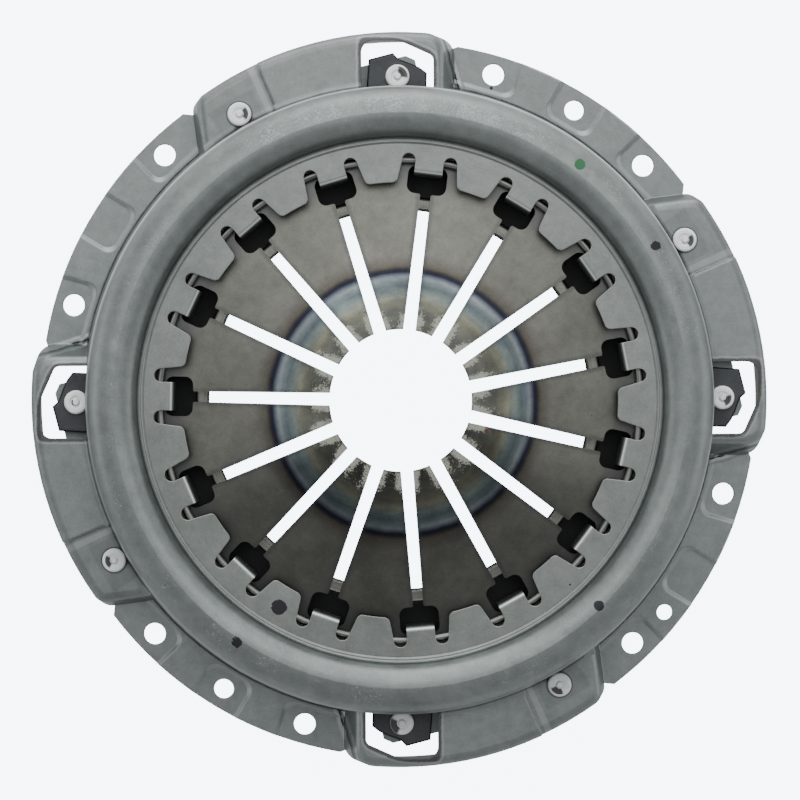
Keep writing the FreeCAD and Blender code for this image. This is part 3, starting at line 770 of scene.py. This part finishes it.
def housing_painted_light_and_shade(f, base):
    """Gathered sheet and dark window rims on the housings, with painted highlights and painted shade; gives
    the colour, the folds' height and the dark rims.
    """
    angle, out, across = f.folded()
    sway = (f.noise(150.0, 3.0) - 0.5) * 1.6 * MM
    rim_wobble = (f.noise(520.0, 4.0, 0.7) - 0.5) * 1.8 * MM
    on_end = f.smooth(out, 154.0 * MM, 160.0 * MM)
    slanted = (out - WINDOW_REACH) * cosine(WINDOW_SLANT) - (across + 1.1 * MM) * sine(WINDOW_SLANT)
    sideways = f.math("ABSOLUTE", across) - WINDOW_HALF
    from_window = f.math("SMOOTH_MAX", out - WINDOW_REACH, slanted, 5.0 * MM)
    from_window = f.math("SMOOTH_MAX", from_window, sideways, 7.0 * MM)
    # Painted highlights on the lip by each window and on the fold ridges, and painted shade in the crease;
    # the folds' shape is the bump
    lip_highlight = f.band(from_window + sway, 2.3 * MM, 0.1 * MM, 0.6 * MM) * on_end
    # A dark ragged band along each window's rim
    dark_window_rim = (1.0 - f.smooth(from_window + rim_wobble, 1.1 * MM, 2.0 * MM)) * on_end

    fold_way = sway - across + (out - 173.0 * MM) * 0.30
    near_ridge = f.band(fold_way, 24.9 * MM, 0.2 * MM, 0.8 * MM)
    far_ridge = f.band(fold_way, 28.6 * MM, 0.4 * MM, 1.8 * MM)
    ridge = f.either(near_ridge, far_ridge) * on_end
    crease = f.band(fold_way, 26.6 * MM, 0.2 * MM, 1.0 * MM) * on_end
    base = f.laid(base, (f.either(ridge, lip_highlight) * 0.45, RIDGE_HIGHLIGHT), (crease * 0.7, CREASE_SHADE), (dark_window_rim * 0.75, WINDOW_RIM_DARK))

    rivet = polar(COVER_RIVET_CIRCLE, RIVET_SWEEP)
    from_rivet = f.math("SQRT", (out - rivet.x) * (out - rivet.x) + (across - rivet.y) * (across - rivet.y))
    # Painted shadow: a dark ring on the cover round each rivet's head
    contact_shadow = f.band(from_rivet, RIVET_HEAD + 0.1 * MM, 0.3 * MM, 0.7 * MM)
    # Painted highlight: a pale band along the rising step of each seat
    step_highlight = f.band(angle, 23.85, 0.35, 0.35) * f.smooth(f.radius, 155.0 * MM, 158.0 * MM)
    # Painted shade: the recessed seat round each rivet is darkened
    hollow_shade = f.band(angle, 29.3, 4.0, 0.5) * (1.0 - f.smooth(f.radius, 173.0 * MM, 174.5 * MM))
    hollow_shade = hollow_shade * f.smooth(f.radius, 154.0 * MM, 156.0 * MM)
    # Painted shade: the cove at the foot of the crown on each pad is darkened
    on_pad = f.band(angle, 29.6, 5.6, 0.4) * f.smooth(f.radius, 150.0 * MM, 152.0 * MM)
    foot_shade = on_pad * f.band(f.z, 24.6 * MM, 2.0 * MM, 0.5 * MM)
    base = f.laid(base, (contact_shadow * 0.7, CONTACT_SHADOW_TONE), (step_highlight * 0.4, STEP_HIGHLIGHT_TONE))
    base = f.laid(base, (hollow_shade * 0.22, PIT_AND_HOLLOW_SHADE), (foot_shade * 0.25, FOOT_SHADE_TONE))
    return base, ridge * 0.25 - crease * 0.3, dark_window_rim


def edge_wear_and_painted_highlights(f, base, rims, dark_window_rim):
    """Pale rims from wear and painted highlight, and painted highlights on seat risers and crown shoulder;
    gives the colour and how matt they are.
    """
    # Painted highlight on the sloping risers of the flange's seats
    tilt = f.band(f.upright(), 0.7, 0.16, 0.10)
    riser_highlight = tilt * f.band(f.z, 4.9 * MM, 0.8 * MM, 0.4 * MM) * f.smooth(f.radius, 160.0 * MM, 162.0 * MM)
    # Painted highlight: the crown's outer wall near its top is laid pale and matt, more on the +Y side
    # where the light falls
    walls = 1.0 - f.smooth(f.upright(), 0.2, 0.5)
    lit_side = 0.5 + f.smooth(f.y / f.radius, -0.7, 0.5) * 0.5
    crown_wall_highlight = walls * f.band(f.radius, 157.0 * MM, 4.0 * MM, 1.5 * MM)
    crown_wall_highlight = crown_wall_highlight * f.smooth(f.z, 39.0 * MM, 43.5 * MM) * lit_side
    # Edges laid pale, partly as wear and partly as painted highlight
    base = f.laid(base, (rims * (1.0 - dark_window_rim) * 0.6, RIM_WEAR_AND_HIGHLIGHT), (riser_highlight * 0.4, RISER_HIGHLIGHT_TONE), (crown_wall_highlight * 0.7, PALE_HIGHLIGHT))
    return base, crown_wall_highlight * 0.7 + riser_highlight * 0.4


def annulus_tint_and_painted_light(f, base):
    """The annulus, its bead and its bent tabs, with a tint, painted highlights and painted shade; gives the
    colour and the bead's height.
    """
    base = f.mixed(f.on_annulus() * 0.8, base, (1.03, 1.0, 0.965), "MULTIPLY")
    # Painted highlight along the bead
    bead_highlight = f.band(f.radius, 129.7 * MM, 0.2 * MM, 0.4 * MM)
    # A thin dark line just inside the bead
    thin_dark_line = f.band(f.radius, 128.3 * MM, 0.05 * MM, 0.25 * MM)
    groove = f.band(f.radius, 131.2 * MM, 0.2 * MM, 0.8 * MM) * f.smooth(f.z, 43.0 * MM, 44.5 * MM)
    base = f.laid(base, (bead_highlight * 0.4, BEAD_HIGHLIGHT_TONE), (thin_dark_line * 0.5, THIN_DARK_LINE_TONE), (groove * 0.3, GROOVE))
    # Painted shade on each bent tab below the start of its bend, and a painted highlight glint along that
    # start
    on_tab = 1.0 - f.smooth(f.radius, 116.6 * MM, 117.2 * MM)
    bend = on_tab * (1.0 - f.smooth(f.z, 44.2 * MM, 44.7 * MM))
    glint = on_tab * f.band(f.z, 44.72 * MM, 0.12 * MM, 0.13 * MM)
    base = f.laid(base, (bend * 0.7, BEND_SHADE_TONE), (glint * 0.8, PALE_HIGHLIGHT))
    bead = f.band(f.radius, 129.2 * MM, 0.2 * MM, 0.7 * MM)
    return base, bead * 0.15 + f.smooth(f.radius, 129.9 * MM, 132.4 * MM)


def assembly_marks(f, base):
    """A dot of paint and dabs of ink; gives the colour and where they lie."""
    green = f.spot(polar(*PAINT_DOT), 2.6 * MM, 0.3 * MM, 1.0 * MM)
    dabs = []
    for distance, angle, size, ragged in INK_MARKS:
        dabs.append(f.spot(polar(distance, angle), size, 0.4 * MM, ragged, 420.0))
    ink = f.either(*dabs)
    return f.laid(base, (green * 0.97, PAINT), (ink * 0.98, INK)), f.either(green, ink)


def cover_finish(look):
    """Satin grey steel, rubbed pale along the crown, with assembly marks in paint and ink, and painted
    highlights and painted shade on its folds, seats, edges and tabs.
    """
    f = Finish("cover_steel")
    clouds = f.noise(9.0, 3.0)
    patches = f.noise(55.0, 5.0, 0.6)
    mottle = f.noise(190.0, 5.0, 0.65)
    grain = f.noise(1500.0, 2.0, 0.6)
    streaks = f.noise(1.0, 3.0, 0.6, f.round_place(16.0 * MM, 1.1 * MM))
    base = f.shaded(tuple(look.cover_colour), clouds * 0.45 + patches * 0.55, 0.80, 1.17)
    base = f.shaded(base, mottle, 0.90, 1.09)
    base = f.shaded(base, streaks, 0.98, 1.02)
    base = f.shaded(base, grain, 0.91, 1.07)
    softened = f.bevel(0.7 * MM)
    rims = f.edges(softened)
    base, pale = cover_wear(f, base, clouds, patches)
    base, folds, dark_window_rim = housing_painted_light_and_shade(f, base)
    base, matt = edge_wear_and_painted_highlights(f, base, rims, dark_window_rim)
    base, pressed = annulus_tint_and_painted_light(f, base)
    base, painted = assembly_marks(f, base)

    height = grain * 0.35 + patches * 0.8 + mottle * 0.5 + streaks * 0.08
    formed = f.bump(pressed + folds, 1.7 * MM, 1.0, softened)
    return f.dress(
        Base_Color=base,
        Roughness=0.31 + patches * 0.12 + clouds * 0.06 + pale * 0.14 - rims * 0.04,
        Metallic=1.0 - painted * 0.9 - matt,
        Normal=f.bump(height, 0.12 * MM, 0.55, formed),
    )


def heat_tints(f):
    """The rings of heat tint about the tips, streaked along them inside the dark ring."""
    ring = f.away_from(TINT_MIDDLE) / MM
    ring = ring + (f.noise(26.0, 2.0) - 0.5) * 2.4 + (f.noise(160.0, 2.0) - 0.5) * 0.8
    base = f.colours(ring / TINT_SPAN, [(radius / TINT_SPAN, colour) for radius, colour in HEAT_TINTS])
    inside = 1.0 - f.smooth(ring, 62.0, 66.0)
    haze = f.noise(1.0, 3.0, 0.6, f.round_place(30.0 * MM, 4.0 * MM))
    base = f.mixed(inside * 0.8, base, f.colours(haze, HAZE_TINTS), "MULTIPLY")
    around = f.noise(1.0, 2.0, 0.5, f.round_place(110.0 * MM, 14.0 * MM))
    return f.shaded(base, around * inside + (1.0 - inside) * 0.5, 0.70, 1.34)


def spring_wear(f, base, sizes):
    """Dark slot sides and dry tips; gives the colour and where it is crusted."""
    pitch = 360.0 / sizes.count
    share = f.math("MODULO", f.turn() + (720.0 - SLOT_ANGLE), pitch)
    to_slot = f.math("MINIMUM", share, pitch - share) * f.radius / DEGREES - 3.0 * MM
    wander = (f.noise(240.0, 3.0) - 0.5) * 2.2 * MM
    border = 1.0 - f.smooth(to_slot + wander, 0.4 * MM, 2.4 * MM)

    near_tip = 1.0 - f.smooth(f.radius, 40.0 * MM, 53.0 * MM)
    near_side = 1.0 - f.smooth(to_slot, 1.2 * MM, 5.0 * MM)
    flakes = f.noise(1250.0, 4.0, 0.75) + f.noise(160.0, 4.0, 0.6) * 0.6
    crust = f.smooth(flakes + near_tip * (0.07 + near_side * 0.26), 1.00, 1.05)
    crust = crust * f.smooth(near_tip, 0.02, 0.2)
    brim = (1.0 - f.smooth(to_slot, 0.25 * MM, 0.6 * MM)) * f.smooth(near_tip, 0.0, 0.5)
    rust = f.spot(polar(*RUST_SPOT), 0.9 * MM, 0.6 * MM, 1.5 * MM)
    hem = 1.0 - f.smooth(f.radius, 35.9 * MM, 36.6 * MM)
    base = f.laid(base, (border * 0.38, SLOT_SIDE), (crust * 0.75, CRUST), (brim * 0.35, BRIM))
    return f.laid(base, (rust * 0.7, RUST), (hem * 0.5, HEM)), crust


def spring_finish(sizes):
    """Ground spring steel: olive grey, with a thin dark ring, blue-grey streaks and dry tips."""
    f = Finish("spring_steel")
    patches = f.noise(48.0, 5.0, 0.62)
    clouds = f.noise(13.0, 3.0)
    grain = f.noise(1100.0, 3.0, 0.6)
    mottle = f.noise(170.0, 5.0, 0.65)
    base = f.shaded(heat_tints(f), patches * 0.55 + clouds * 0.45, 0.70, 1.22)
    # Painted shade: the spring is darkened towards -Y, the side away from the light
    base = f.shaded(base, f.smooth(f.y / f.radius, 0.1, -0.95), 1.0, 0.56)
    base = f.shaded(base, mottle, 0.86, 1.08)
    base = f.shaded(base, grain, 0.90, 1.06)
    base, crust = spring_wear(f, base, sizes)
    shade = f.smooth(f.radius, 103.0 * MM, 112.0 * MM)
    # Painted light: beyond the pivot the spring is laid pale and matt, so the rim shows lit in the notches
    outer = f.smooth(f.radius, 120.0 * MM, 121.5 * MM)
    dots = f.specks(11.0 * MM, 0.55 * MM) * f.smooth(patches, 0.48, 0.56)
    base = f.laid(base, (shade * 0.35, UNDER_RIM), (outer, PALE_RIM_LIGHT), (dots * 0.7, DOT))
    height = grain * 0.4 + patches * 0.8 + crust * 0.8
    return f.dress(
        Base_Color=base,
        Roughness=0.38 + patches * 0.16 + crust * 0.3,
        Metallic=1.0 - crust * 0.7 - outer * 0.95,
        Normal=f.bump(height, 0.1 * MM, 0.5),
    )


def wire_finish():
    """Drawn wire, bright where the notches show it, with dark draw lines."""
    f = Finish("wire_steel")
    lines = f.noise(1.0, 2.0, 0.6, f.round_place(40.0 * MM, 0.4 * MM))
    patches = f.noise(120.0, 4.0)
    base = f.shaded((0.32, 0.33, 0.31), lines * 0.7 + patches * 0.3, 0.35, 1.25)
    return f.dress(
        Base_Color=base,
        Roughness=0.24 + patches * 0.16,
        Metallic=1.0,
        Normal=f.bump(lines, 0.05 * MM, 0.5),
    )


def strap_finish():
    """Cold-rolled strip, grey with a green cast."""
    f = Finish("strap_steel")
    grain = f.noise(900.0, 4.0, 0.6)
    patches = f.noise(90.0, 4.0)
    base = f.shaded((0.34, 0.38, 0.37), patches, 0.8, 1.1)
    base = f.shaded(base, grain, 0.9, 1.06)
    return f.dress(
        Base_Color=base,
        Roughness=0.36 + patches * 0.16,
        Metallic=1.0,
        Normal=f.bump(grain, 0.05 * MM, 0.5, f.bevel(0.25 * MM)),
    )


def rivet_finish():
    """Bright zinc, each head with a dark crescent beside its nub."""
    f = Finish("rivet_zinc")
    patches = f.noise(260.0, 3.0, 0.6)
    grain = f.noise(1500.0, 2.0)
    base = f.shaded((0.93, 0.98, 0.98), patches, 0.88, 1.02)
    softened = f.bevel(0.35 * MM)
    rims = f.edges(softened)
    # Painted shade: the rounded edges of the heads are darkened
    base = f.mixed(rims * 0.35, base, (0.25, 0.28, 0.28))
    crescents = []
    nub_edges = []
    for circle, sweep, marks in (
        (COVER_RIVET_CIRCLE, RIVET_SWEEP, COVER_CRESCENTS),
        (LUG_RIVET_CIRCLE, 0.0, LUG_CRESCENTS),
    ):
        for index, (side, reach, half) in enumerate(marks):
            middle = polar(circle, LUG_ANGLE + sweep + QUARTER * index)
            away = f.away_from(middle)
            across = (f.x - middle.x) * cosine(side) + (f.y - middle.y) * sine(side)
            crescents.append(f.band(away, reach, half, 0.4 * MM) * f.smooth(across / away, 0.55, 0.80))
            nub_edges.append(f.band(away, 1.75 * MM, 0.1 * MM, 0.3 * MM) * f.smooth(patches, 0.36, 0.5))
    base = f.mixed(f.either(*nub_edges) * 0.55, base, (0.22, 0.25, 0.25))
    base = f.mixed(f.either(*crescents) * 0.95, base, (0.012, 0.015, 0.015))
    return f.dress(
        Base_Color=base,
        Roughness=0.30 + patches * 0.12,
        Metallic=0.0,
        Normal=f.bump(grain * 0.3 + patches, 0.05 * MM, 0.4, softened),
    )


def iron_finish():
    """Dark cast iron with turned faces, and painted shade inside and on its slopes and edges."""
    f = Finish("cast_iron")
    grain = f.noise(600.0, 4.0, 0.6)
    patches = f.noise(70.0, 4.0)
    values = {"W": f.radius, "Scale": 2400.0, "Detail": 3.0}
    turned = f.add("ShaderNodeTexNoise", {"noise_dimensions": "1D"}, values, "Fac")
    band = f.band(f.radius, 99.3 * MM, 2.8 * MM, 0.2 * MM)
    face = 1.0 - f.smooth(f.z, 5.2 * MM, 5.4 * MM)
    machined = f.either(band, face)
    cast = f.shaded((0.066, 0.071, 0.075), grain * 0.4 + patches * 0.6, 0.72, 1.2)
    # Painted shade: the plate is darkened inside, where the spring shades it
    within = 1.0 - f.smooth(f.radius, 128.0 * MM, 132.0 * MM)
    cast = f.mixed(within * 0.85, cast, (0.012, 0.012, 0.012))
    # Painted shade on sloping faces and along the edges of the cast iron
    chamfer = 1.0 - f.smooth(f.upright(), 0.80, 0.95)
    cast = f.mixed(chamfer * 0.85, cast, (0.010, 0.012, 0.016))
    softened = f.bevel(0.8 * MM)
    cast = f.mixed(f.edges(softened, 0.02, 0.2) * 0.8, cast, (0.016, 0.018, 0.019))
    bright = f.shaded((0.45, 0.45, 0.41), turned, 0.75, 1.15)
    base = f.mixed(machined, cast, bright)
    return f.dress(
        Base_Color=base,
        Roughness=0.50 - machined * 0.12,
        Metallic=0.55 + machined * 0.45,
        Normal=f.bump(f.mixed(machined, grain, turned), 0.12 * MM, 0.4, softened),
    )


def paint(piece, material):
    mesh = piece.data
    mesh.materials.clear()
    mesh.materials.append(material)


# Settings, operators and the panel


def length(name, description, default):
    return bpy.props.FloatProperty(name=name, description=description, default=default, unit="LENGTH")


class SpringSizes(bpy.types.PropertyGroup):
    """Sizes of the diaphragm spring."""

    count: bpy.props.IntProperty(name="Fingers", description="How many fingers", default=15, min=3)
    thickness: length("Thickness", "Thickness of the spring's sheet", 3.0 * MM)
    cone: bpy.props.FloatProperty(name="Cone", description="Cone angle in degrees", default=11.5)
    outer_radius: length("Outer radius", "Radius of the rim", 147.0 * MM)
    tip_radius: length("Tip radius", "Radius at the finger tips", 35.4 * MM)
    slot_half_tip: length("Slot at tip", "Half the slot at the tips", 3.1 * MM)
    slot_half_root: length("Slot at root", "Half the slot at its hole", 2.6 * MM)
    hole_inner_radius: length("Hole start", "Where the slot widens", 103.8 * MM)
    hole_outer_radius: length("Hole end", "Where the hole ends", 117.8 * MM)
    hole_half_width: length("Hole half width", "Half the width of a hole", 9.9 * MM)
    hole_corner: length("Hole corner", "Corner radius of a hole", 4.0 * MM)
    edge: length("Edge", "Rounding along the edges", 0.4 * MM)


class StrapSizes(bpy.types.PropertyGroup):
    """Sizes of the strap packs."""

    leaves: bpy.props.IntProperty(name="Leaves", description="Leaves in a pack", default=3, min=1)
    leaf_thickness: length("Leaf", "Thickness of a leaf", 1.0 * MM)
    width: length("Width", "Width of a leaf", 20.0 * MM)
    end: length("End", "Leaf beyond a rivet's middle", 11.0 * MM)
    drop: length("Drop", "How far the lug's end lies lower at rest", 6.5 * MM)
    clamp: length("Cover clamp", "Flat run from the cover's rivet", 12.0 * MM)
    lug_clamp: length("Lug clamp", "Flat run before the lug's rivet", 17.0 * MM)
    hole_radius: length("Hole", "Radius of a rivet hole", 4.1 * MM)


class StageLook(bpy.types.PropertyGroup):
    """Camera, light and table."""

    distance: length("Distance", "Camera to the flange", 2.0)
    half_view: length("Half view", "Half the picture's width at the flange", 204.4 * MM)
    aim: bpy.props.FloatVectorProperty(
        name="Aim",
        description="Point in the middle of the picture",
        default=(0.56 * MM, -0.26 * MM, 0.0),
        size=3,
    )
    lean: bpy.props.FloatVectorProperty(
        name="Lean", description="How far the camera stands off the axis", default=(-0.0356, 0.0178), size=2
    )
    table_colour: bpy.props.FloatVectorProperty(
        name="Table", description="Colour of the table", default=(0.78, 0.90, 1.0), subtype="COLOR", size=3
    )
    sky_strength: bpy.props.FloatProperty(
        name="Sky", description="How bright the surroundings are", default=1.5, min=0.0
    )


class FinishLook(bpy.types.PropertyGroup):
    """Colours of the finishes."""

    cover_colour: bpy.props.FloatVectorProperty(
        name="Cover",
        description="Colour of the cover's steel",
        default=(0.282, 0.312, 0.307),
        subtype="COLOR",
        size=3,
    )


class CLUTCH_OT_spring(bpy.types.Operator):
    """Make the diaphragm spring"""

    bl_idname = "clutch.spring"
    bl_label = "Diaphragm spring"

    def execute(self, context):
        sizes = context.scene.clutch_spring
        rounding = {
            "width": sizes.edge,
            "segments": 2,
            "limit_method": "ANGLE",
            "angle_limit": math.radians(50.0),
        }
        piece = run_tree(
            "diaphragm_fingers",
            spring_sector(sizes),
            spring_tree(sizes),
            spring_finish(sizes),
            modifiers=[("BEVEL", rounding)],
        )
        smooth_shaded(piece)
        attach(piece, "cover")
        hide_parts("diaphragm_spring")
        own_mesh(piece)
        return {"FINISHED"}


class CLUTCH_OT_straps(bpy.types.Operator):
    """Make the four strap packs"""

    bl_idname = "clutch.straps"
    bl_label = "Strap packs"

    def execute(self, context):
        sizes = context.scene.clutch_straps
        material = strap_finish()
        tree = strap_tree(sizes)
        plan = strap_plan(sizes)
        for index in range(QUARTERS):
            turn = LUG_ANGLE + QUARTER * index
            place = str(index + 1)
            angles = {"Quarter Turn": math.radians(turn)}
            piece = run_tree("strap_pack_" + place, plan.copy(), tree, material, angles)
            smooth_shaded(piece)
            leaves = ["strap_" + place + "_" + leaf + "_leaf" for leaf in ("top", "middle", "bottom")]
            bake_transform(piece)
            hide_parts(*leaves)
        return {"FINISHED"}


class CLUTCH_OT_finishes(bpy.types.Operator):
    """Give the solid pieces their finishes"""

    bl_idname = "clutch.finishes"
    bl_label = "Finishes"

    def execute(self, context):
        paint(nodes["cover"], cover_finish(context.scene.clutch_finish))
        paint(nodes["pressure_plate"], iron_finish())
        wire = wire_finish()
        for name in ("upper_pivot_ring", "lower_pivot_ring"):
            paint(nodes[name], wire)
        zinc = rivet_finish()
        for index in range(QUARTERS):
            for kind in ("cover_rivet_", "lug_rivet_"):
                paint(nodes[kind + str(index + 1)], zinc)
        return {"FINISHED"}


def sky(strength):
    """Soft surroundings: bright towards +Y, dim towards -Y, darker at the sides and below."""
    world = bpy.data.worlds.new("studio")
    world.use_nodes = True
    g = Graph(world.node_tree, "ShaderNodeMath")
    x, y, z = g.parts_of(g.add("ShaderNodeTexCoord", output="Generated"))
    shade = g.add("ShaderNodeValToRGB", {"stops": greys(SKY_LEVELS)}, {0: y * 0.5 + 0.5}, "Color")
    above = g.smooth(z, -1.0, -0.5) * 1.2 + 0.2
    sideways = g.math("ABSOLUTE", x)
    beside = g.smooth(sideways, 0.3, 0.85) * 0.75
    far = g.smooth(sideways, 0.88, 0.99)
    level = shade * (1.0 - beside) + beside * 0.27 + far * 0.4
    back = world.node_tree.nodes["Background"]
    back.inputs["Color"].default_value = (1.0, 1.0, 1.0, 1.0)
    g.feed(back.inputs["Strength"], level * above * strength)
    return world


def table_finish(colour):
    """A matt table that the camera sees bright and that lights the part from beyond its rim."""
    f = Finish("table")
    seen = f.add("ShaderNodeLightPath", output="Is Camera Ray")
    # Painted shadow: the table gives no glow beneath the part, and its glow grows towards +Y
    lit = f.smooth(f.radius, 150.0 * MM, 180.0 * MM) * (0.5 + f.smooth(f.y, 0.0, 250.0 * MM) * 0.7)
    strength = seen * TABLE_SEEN + (1.0 - seen) * lit
    tint = f.mixed(seen, (0.9, 0.9, 0.9), colour)
    glow = f.add("ShaderNodeEmission", values={"Color": tint, "Strength": strength})
    f.dress(Base_Color=(0.10, 0.102, 0.104), Roughness=0.9)
    both = f.add("ShaderNodeAddShader", values={0: glow, 1: Socket(f, f.shader.outputs[0])})
    f.feed(f.tree.nodes["Material Output"].inputs["Surface"], both)
    return f.material


def make_table(look):
    mesh = bpy.data.meshes.new("table_top")
    corners = [(-1, -1), (1, -1), (1, 1), (-1, 1)]
    mesh.from_pydata([(x * TABLE_REACH, y * TABLE_REACH, 0) for x, y in corners], [], [(0, 1, 2, 3)])
    table = bpy.data.objects.new("table_top", mesh)
    table.location.z = -TABLE_GAP
    bpy.context.scene.collection.objects.link(table)
    paint(table, table_finish(tuple(look.table_colour)))
    table.visible_diffuse = False
    return table


def make_lamp(name):
    """A square lamp; one that the metal mirrors faces straight down, another faces the part."""
    place, size, power, mirrored = LAMPS[name]
    lamp = bpy.data.lights.new(name, "AREA")
    lamp.size = size
    lamp.energy = power
    holder = bpy.data.objects.new(name, lamp)
    holder.location = place
    if not mirrored:
        holder.rotation_euler = (-Vector(place)).to_track_quat("-Z", "Y").to_euler()
    holder.visible_camera = False
    holder.visible_glossy = mirrored
    bpy.context.scene.collection.objects.link(holder)


def make_camera(look):
    """A camera above the cover, with +Y up in the picture."""
    camera = bpy.data.cameras.new("camera")
    camera.lens = camera.sensor_width / 2 * look.distance / look.half_view
    camera.clip_start = 0.05
    holder = bpy.data.objects.new("camera", camera)
    aim = Vector(look.aim)
    holder.location = aim + Vector((look.lean[0], look.lean[1], look.distance))
    back = (holder.location - aim).normalized()
    side = Vector((0, 1, 0)).cross(back).normalized()
    up = back.cross(side)
    holder.rotation_mode = "QUATERNION"
    holder.rotation_quaternion = Matrix((side, up, back)).transposed().to_quaternion()
    bpy.context.scene.collection.objects.link(holder)
    return holder


class CLUTCH_OT_stage(bpy.types.Operator):
    """Set the table, the lights and the camera"""

    bl_idname = "clutch.stage"
    bl_label = "Stage"

    def execute(self, context):
        look = context.scene.clutch_stage
        table = make_table(look)
        context.scene.world = sky(look.sky_strength)
        for name in LAMPS:
            make_lamp(name)
        context.scene.camera = make_camera(look)
        return {"FINISHED"}


class CLUTCH_PT_panel(bpy.types.Panel):
    """The clutch cover's makers"""

    bl_idname = "CLUTCH_PT_panel"
    bl_label = "Clutch Cover"
    bl_space_type = "VIEW_3D"
    bl_region_type = "UI"
    bl_category = "Clutch Cover"

    def draw(self, context):
        for operator in OPERATORS:
            self.layout.operator(operator.bl_idname)


OPERATORS = (CLUTCH_OT_spring, CLUTCH_OT_straps, CLUTCH_OT_finishes, CLUTCH_OT_stage)
SETTINGS = {
    "clutch_spring": SpringSizes,
    "clutch_straps": StrapSizes,
    "clutch_finish": FinishLook,
    "clutch_stage": StageLook,
}


def register():
    for kind in (*SETTINGS.values(), *OPERATORS, CLUTCH_PT_panel):
        bpy.utils.register_class(kind)
    for name, kind in SETTINGS.items():
        setattr(bpy.types.Scene, name, bpy.props.PointerProperty(type=kind))


def unregister():
    for name in SETTINGS:
        delattr(bpy.types.Scene, name)
    for kind in (CLUTCH_PT_panel, *OPERATORS[::-1], *list(SETTINGS.values())[::-1]):
        bpy.utils.unregister_class(kind)


def main():
    register()
    bpy.ops.clutch.spring()
    bpy.ops.clutch.straps()
    bpy.ops.clutch.finishes()
    bpy.ops.clutch.stage()
    bpy.context.view_layer.update()


if __name__ == "__main__":
    main()
